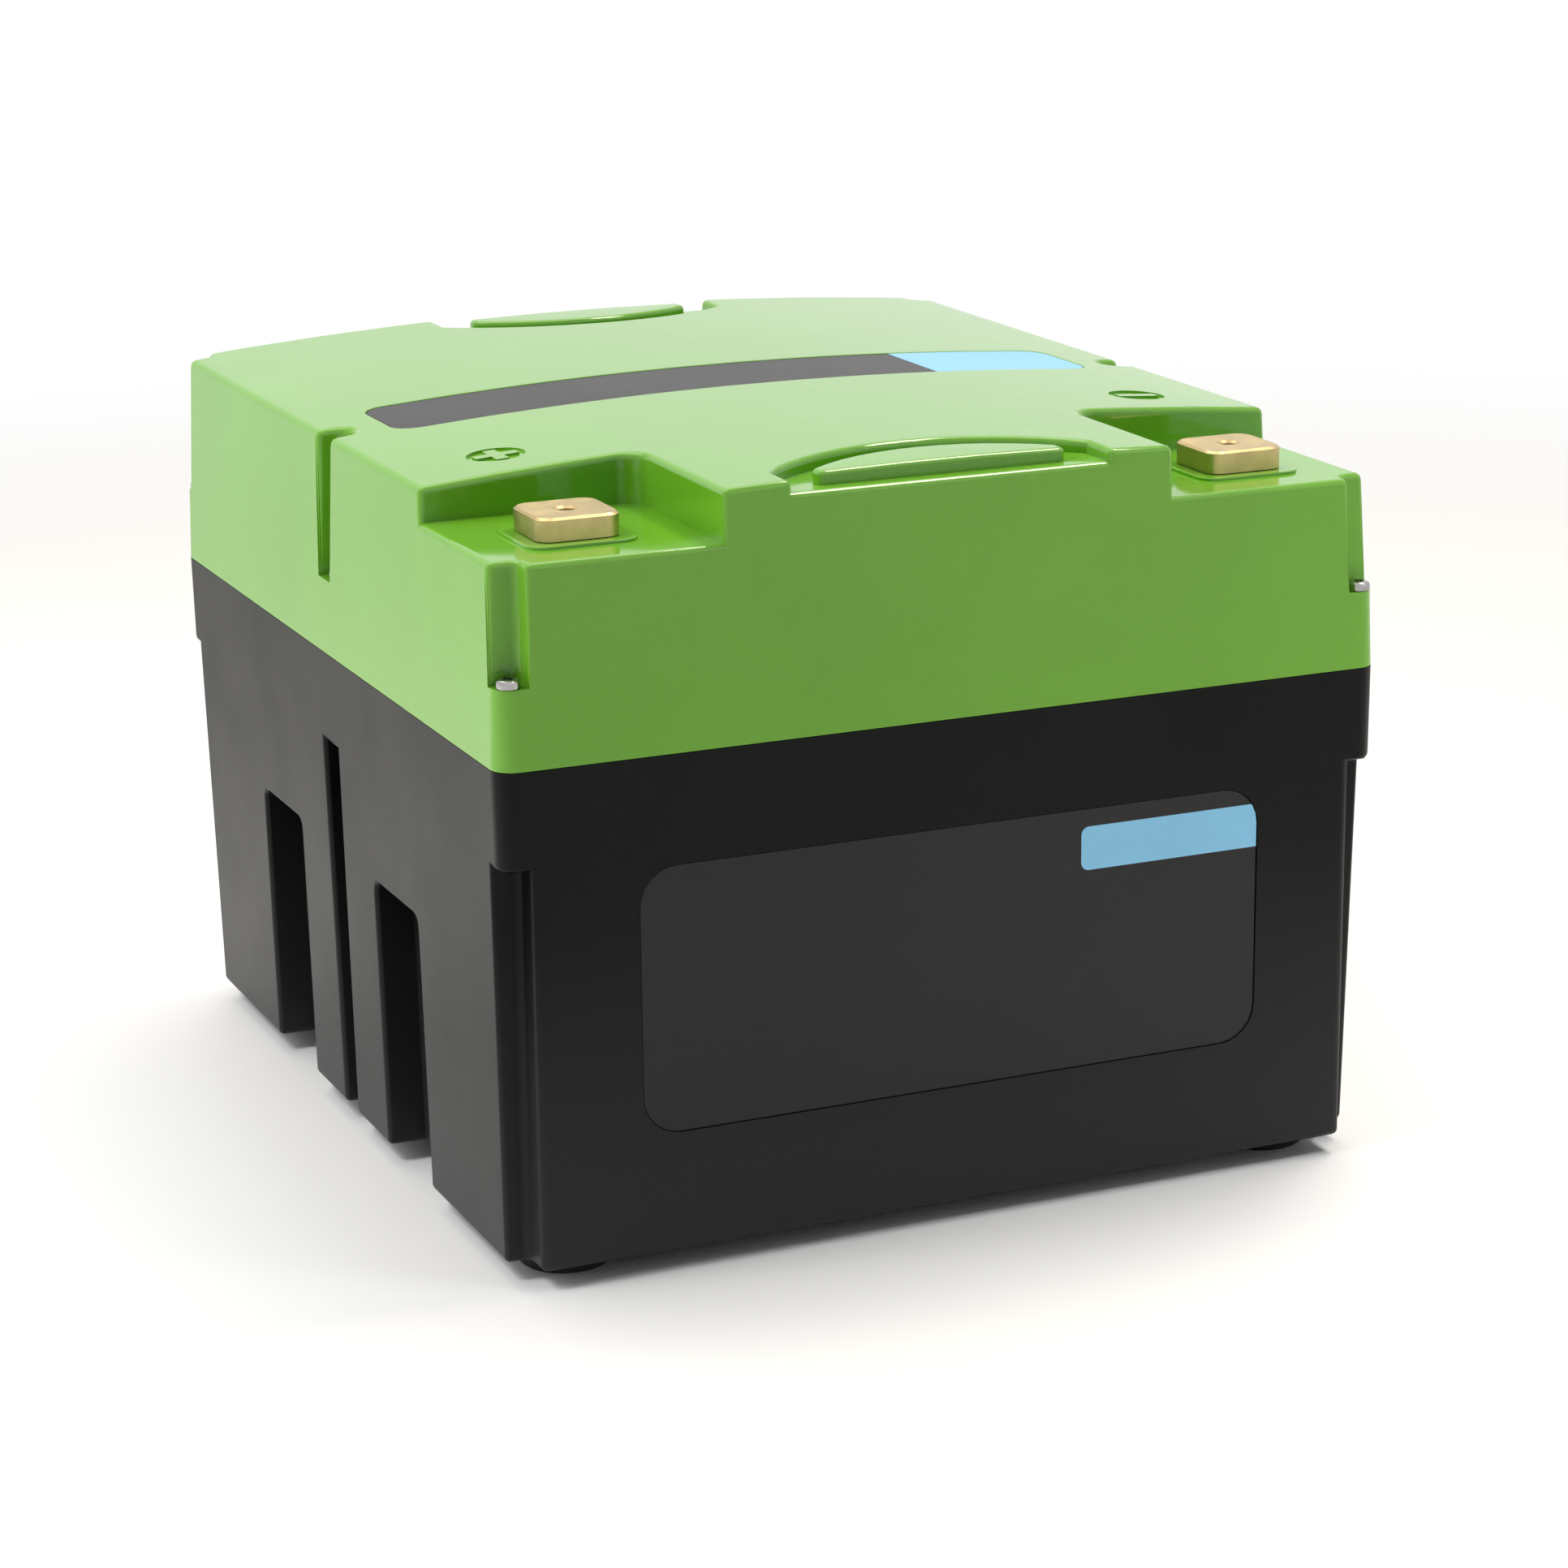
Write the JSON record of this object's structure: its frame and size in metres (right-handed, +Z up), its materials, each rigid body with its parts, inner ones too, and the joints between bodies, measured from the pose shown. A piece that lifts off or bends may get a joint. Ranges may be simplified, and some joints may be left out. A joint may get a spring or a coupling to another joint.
{
  "type": "deep cycle battery",
  "caption": "Box-shaped lithium deep cycle battery with a crowned screwed lid, square brass terminals in corner recesses, side pockets and rubber feet.",
  "frame": {"origin": "on the floor under the middle of the case", "axes": "+Z up, front face with the label looks along -Y, positive terminal at -X, +Y towards the rear along the longest side"},
  "size_m": [0.335, 0.382, 0.2746],
  "materials": {
    "black_plastic": "moulded satin black with a fine grain",
    "green_plastic": "glossy lime green moulding",
    "seal_rubber": "soft black seal",
    "foot_rubber": "matt black rubber",
    "stainless_steel": "bright stainless steel",
    "brass": "machined brass",
    "label_film": "charcoal label film with a pale blue tag",
    "cell_aluminium": "plain drawn aluminium can",
    "insulation_sheet": "glass epoxy sheet",
    "foam": "dark grey closed-cell foam",
    "copper": "bare copper",
    "cover_plastic": "dark moulded plastic",
    "aluminium_plate": "milled aluminium",
    "circuit_board": "green solder mask"
  },
  "bodies": {
    "root": {"base_case": "black_plastic", "bms_board": "circuit_board", "bms_plate": "aluminium_plate", "bms_screw_front_left": "stainless_steel", "bms_screw_front_right": "stainless_steel", "bms_screw_rear_left": "stainless_steel", "bms_screw_rear_right": "stainless_steel", "busbar_negative": "copper", "busbar_positive": "copper", "cell_01": "cell_aluminium", "cell_02": "cell_aluminium", "cell_03": "cell_aluminium", "cell_04": "cell_aluminium", "cell_05": "cell_aluminium", "cell_06": "cell_aluminium", "cell_07": "cell_aluminium", "cell_08": "cell_aluminium", "cell_09": "cell_aluminium", "cell_10": "cell_aluminium", "cell_11": "cell_aluminium", "cell_12": "cell_aluminium", "cell_cover": "cover_plastic", "centre_partition": "insulation_sheet", "divider_front": "insulation_sheet", "divider_rear": "insulation_sheet", "foam_front": "foam", "foam_rear": "foam", "foot_front_left": "foot_rubber", "foot_front_right": "foot_rubber", "foot_rear_left": "foot_rubber", "foot_rear_right": "foot_rubber", "front_label": "label_film", "lid": "green_plastic", "lid_screw_front_left": "stainless_steel", "lid_screw_front_right": "stainless_steel", "lid_screw_mid_left": "stainless_steel", "lid_screw_mid_right": "stainless_steel", "lid_screw_rear_left": "stainless_steel", "lid_screw_rear_right": "stainless_steel", "lid_seal": "seal_rubber", "link_left": "copper", "link_rear": "copper", "link_right": "copper", "radio_module": "circuit_board", "screw_insert_front_left": "brass", "screw_insert_front_right": "brass", "screw_insert_mid_left": "brass", "screw_insert_mid_right": "brass", "screw_insert_rear_left": "brass", "screw_insert_rear_right": "brass", "strap_negative_in": "copper", "strap_negative_out": "copper", "strap_positive": "copper", "terminal_bolt_negative": "stainless_steel", "terminal_bolt_positive": "stainless_steel", "terminal_negative": "brass", "terminal_positive": "brass", "terminal_seal_negative": "seal_rubber", "terminal_seal_positive": "seal_rubber", "top_label": "label_film"}
  },
  "joints": []
}
